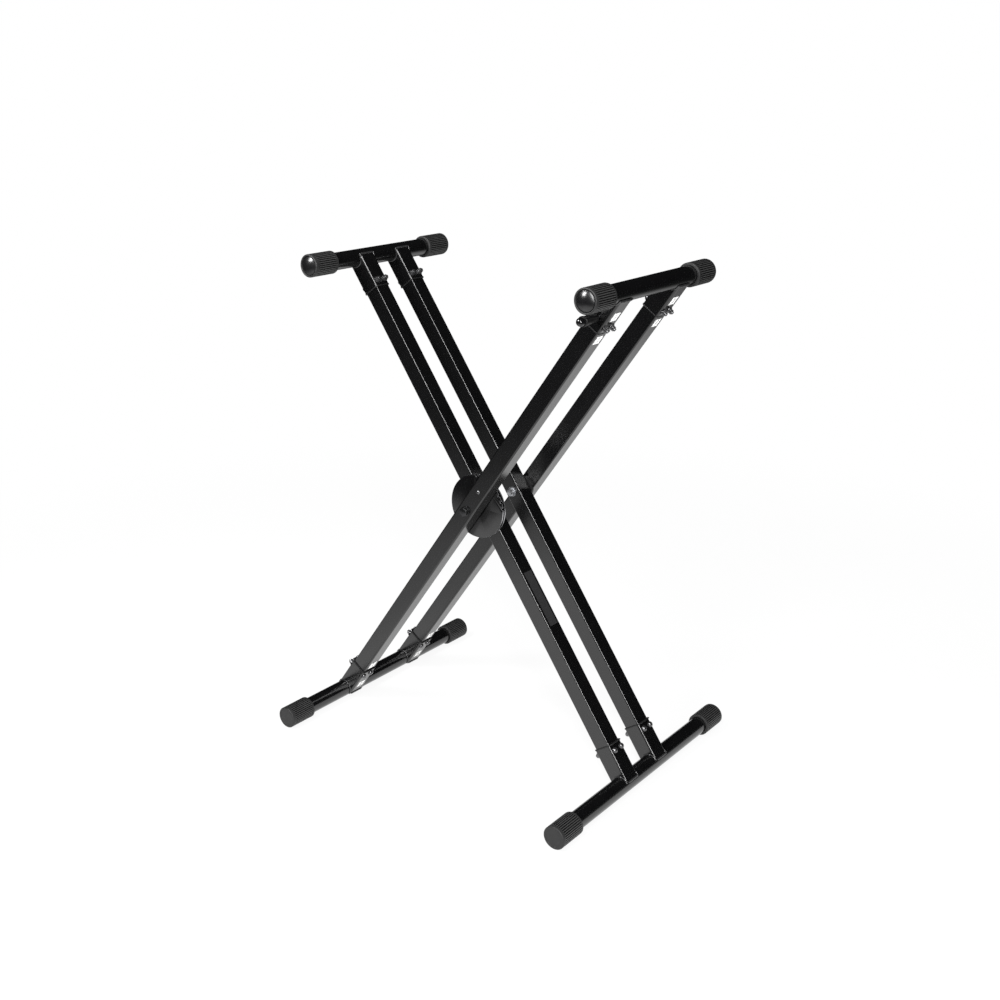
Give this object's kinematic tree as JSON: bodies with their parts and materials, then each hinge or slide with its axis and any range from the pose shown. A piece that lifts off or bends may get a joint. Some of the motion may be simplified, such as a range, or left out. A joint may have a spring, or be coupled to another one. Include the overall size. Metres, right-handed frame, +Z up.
{
  "type": "folding keyboard stand",
  "caption": "Black steel folding X stand for a keyboard, double square legs on a toothed pivot lock, trigger release and rubber end caps.",
  "frame": {"origin": "on the floor, under the middle of the stand in its pictured setting", "axes": "+Z up, X across the scissor with the trigger's leg leaning to +X at the top, +Y along the crossbars away from the trigger"},
  "size_m": [0.6356, 0.506, 0.8582],
  "materials": {
    "powder_coat": "semi-gloss black powder coat over steel",
    "rubber": "matt black rubber",
    "grip_rubber": "satin black rubber",
    "gloss_plug": "glossy black plastic",
    "gloss_ball": "glossy black plastic",
    "plastic": "matt black plastic",
    "black_zinc": "black zinc-plated steel",
    "bright_zinc": "bright zinc-plated steel",
    "sticker": "white paper sticker",
    "label": "dark satin decal"
  },
  "bodies": {
    "outer_leg": {"outer_near_tube": "powder_coat", "outer_far_tube": "powder_coat", "outer_top_crossbar": "powder_coat", "outer_bottom_crossbar": "powder_coat", "outer_top_near_stub": "powder_coat", "outer_top_far_stub": "powder_coat", "outer_bottom_near_stub": "powder_coat", "outer_bottom_far_stub": "powder_coat", "outer_collars": "plastic", "outer_welds": "powder_coat", "outer_joint_screws": "black_zinc", "outer_joint_nuts": "black_zinc", "outer_stickers": "sticker", "outer_top_near_cap": "rubber", "outer_top_far_cap": "rubber", "outer_bottom_near_cap": "rubber", "outer_bottom_far_cap": "rubber", "outer_top_near_dome": "gloss_plug", "outer_top_far_dome": "gloss_plug", "near_pivot_bolt": "black_zinc", "near_pivot_nut": "black_zinc", "far_pivot_bolt": "black_zinc", "far_pivot_nut": "black_zinc", "pivot_washers": "black_zinc", "outer_pivot_bushings": "bright_zinc", "plate_washer": "bright_zinc", "far_spacer": "plastic", "stop_rivet": "black_zinc", "spring_seat": "plastic"},
    "inner_leg": {"inner_near_tube": "powder_coat", "inner_far_tube": "powder_coat", "inner_top_crossbar": "powder_coat", "inner_bottom_crossbar": "powder_coat", "inner_top_near_stub": "powder_coat", "inner_top_far_stub": "powder_coat", "inner_bottom_near_stub": "powder_coat", "inner_bottom_far_stub": "powder_coat", "inner_collars": "plastic", "inner_welds": "powder_coat", "inner_joint_screws": "black_zinc", "inner_joint_nuts": "black_zinc", "inner_label": "label", "inner_top_near_cap": "rubber", "inner_top_far_cap": "rubber", "inner_bottom_near_cap": "rubber", "inner_bottom_far_cap": "rubber", "inner_top_near_dome": "gloss_plug", "inner_top_far_dome": "gloss_plug", "inner_pivot_bushings": "bright_zinc", "toothed_plate": "powder_coat", "backing_plate": "powder_coat"},
    "lock_trigger": {"lock_pawl": "bright_zinc", "pull_rod": "bright_zinc", "return_spring": "bright_zinc", "trigger_block": "plastic", "trigger_shank": "bright_zinc", "trigger_grip": "grip_rubber", "trigger_ball": "gloss_ball"}
  },
  "joints": [
    {"name": "fold", "type": "hinge", "parent": "outer_leg", "child": "inner_leg", "pos_m": [0, 0, 0.44546], "axis": [0, 1, 0], "range_deg": [-48, 65.2]},
    {"name": "trigger_pull", "type": "slide", "parent": "outer_leg", "child": "lock_trigger", "axis": [0.5736, 0, 0.8192], "range_m": [0, 0.008], "stiffness_N_per_m": 400, "springref_m": -0.01, "deforming": ["return_spring"]}
  ]
}
